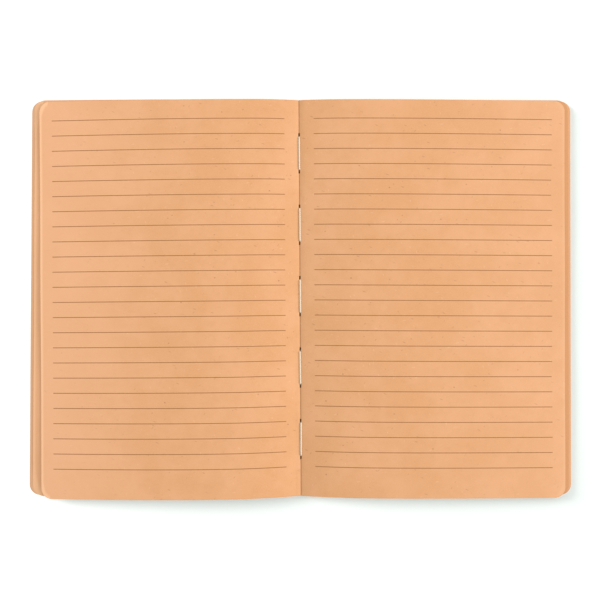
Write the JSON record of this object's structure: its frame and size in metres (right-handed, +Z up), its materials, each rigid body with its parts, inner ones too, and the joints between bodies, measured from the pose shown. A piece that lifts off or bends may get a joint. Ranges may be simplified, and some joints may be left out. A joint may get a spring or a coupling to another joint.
{
  "type": "pocket notebook",
  "caption": "Soft-cover pocket notebook sewn through the fold, lying open flat at its centre spread of ruled kraft-paper pages with rounded corners.",
  "frame": {"origin": "on the surface the open notebook lies on, under the middle of the fold", "axes": "+X across the spread towards the back half, +Y up the page, +Z up out of the pages"},
  "size_m": [0.2068, 0.15, 0.0033],
  "materials": {
    "cover_card": "matt kraft card",
    "page_paper": "uncoated kraft paper with thin brown ruling",
    "sewing_thread": "twisted off-white thread"
  },
  "bodies": {
    "back_half": {"back_cover": "cover_card", "cover_spine": "cover_card", "sewn_folds": "page_paper", "sewing_thread": "sewing_thread", "right_leaf_02": "page_paper", "right_leaf_03": "page_paper", "right_leaf_04": "page_paper", "right_leaf_05": "page_paper", "right_leaf_06": "page_paper", "right_leaf_07": "page_paper", "right_leaf_08": "page_paper", "right_leaf_09": "page_paper", "right_leaf_10": "page_paper", "right_leaf_11": "page_paper", "right_leaf_12": "page_paper", "right_leaf_13": "page_paper", "right_leaf_14": "page_paper", "right_leaf_15": "page_paper", "right_leaf_16": "page_paper", "right_leaf_17": "page_paper", "right_leaf_18": "page_paper", "right_leaf_19": "page_paper", "right_leaf_20": "page_paper"},
    "front_half": {"front_cover": "cover_card", "left_leaf_02": "page_paper", "left_leaf_03": "page_paper", "left_leaf_04": "page_paper", "left_leaf_05": "page_paper", "left_leaf_06": "page_paper", "left_leaf_07": "page_paper", "left_leaf_08": "page_paper", "left_leaf_09": "page_paper", "left_leaf_10": "page_paper", "left_leaf_11": "page_paper", "left_leaf_12": "page_paper", "left_leaf_13": "page_paper", "left_leaf_14": "page_paper", "left_leaf_15": "page_paper", "left_leaf_16": "page_paper", "left_leaf_17": "page_paper", "left_leaf_18": "page_paper", "left_leaf_19": "page_paper", "left_leaf_20": "page_paper"},
    "left_top_leaf": {"left_leaf_01": "page_paper"},
    "right_top_leaf": {"right_leaf_01": "page_paper"}
  },
  "joints": [
    {"name": "close_notebook", "type": "hinge", "parent": "back_half", "child": "front_half", "pos_m": [0, 0, 0.00275], "axis": [0, 1, 0], "range_deg": [0, 179.5]},
    {"name": "turn_left_leaf", "type": "hinge", "parent": "front_half", "child": "left_top_leaf", "pos_m": [0, 0, 0.00275], "axis": [0, -1, 0], "range_deg": [-165, 0]},
    {"name": "turn_right_leaf", "type": "hinge", "parent": "back_half", "child": "right_top_leaf", "pos_m": [0, 0, 0.00275], "axis": [0, 1, 0], "range_deg": [-165, 0]}
  ]
}
